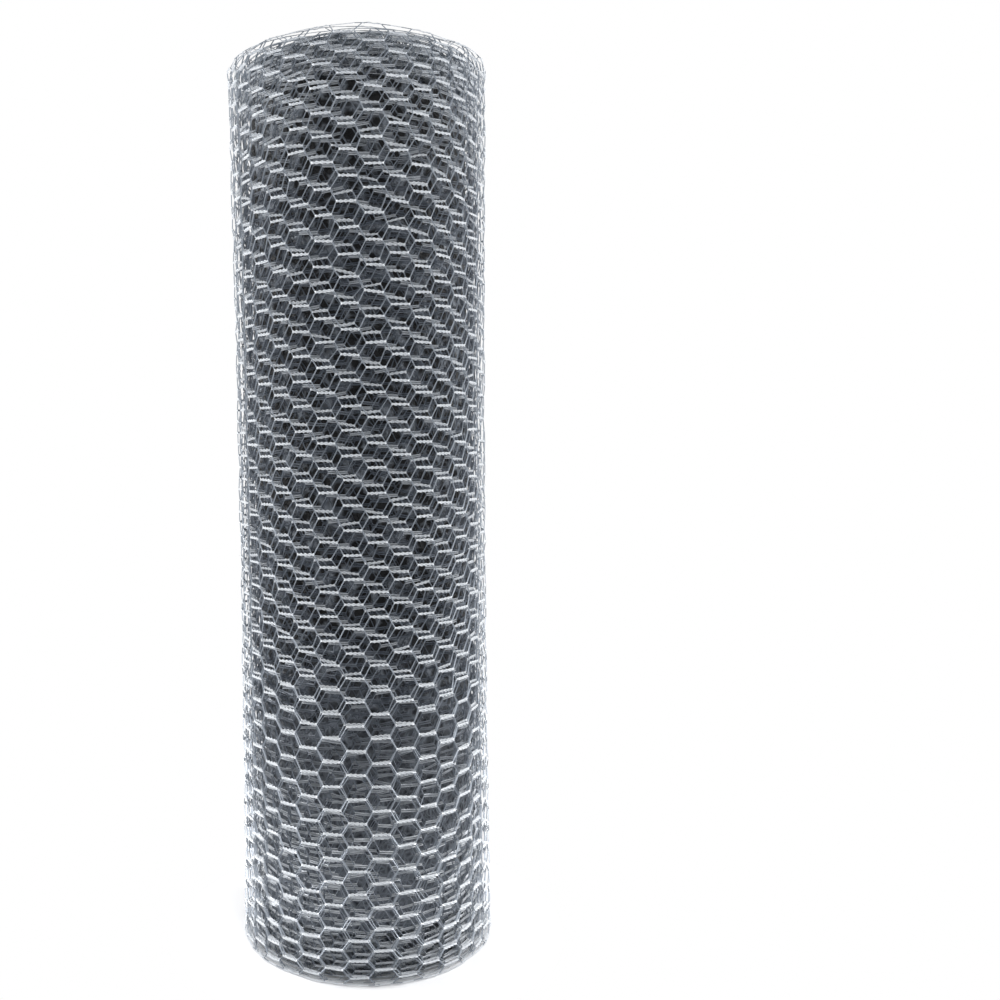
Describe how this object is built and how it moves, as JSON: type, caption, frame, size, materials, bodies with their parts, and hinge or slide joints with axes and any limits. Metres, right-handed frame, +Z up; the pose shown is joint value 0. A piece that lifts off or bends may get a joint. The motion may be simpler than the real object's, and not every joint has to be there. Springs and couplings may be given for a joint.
{
  "type": "roll of chicken wire",
  "caption": "Tightly wound roll of galvanised hexagonal wire netting, standing on its end, with an open bore for a spindle or pole.",
  "frame": {"origin": "centre of the lower end, on the floor that the roll stands on", "axes": "+Z up along the roll's axis; X and Y are level, and -Y is the side that the picture shows"},
  "size_m": [0.2999, 0.3, 1],
  "materials": {
    "galvanised_wire": "hot-dip galvanised steel wire, pale blue-grey, satin"
  },
  "bodies": {
    "root": {"netting_roll": "galvanised_wire"}
  },
  "joints": []
}
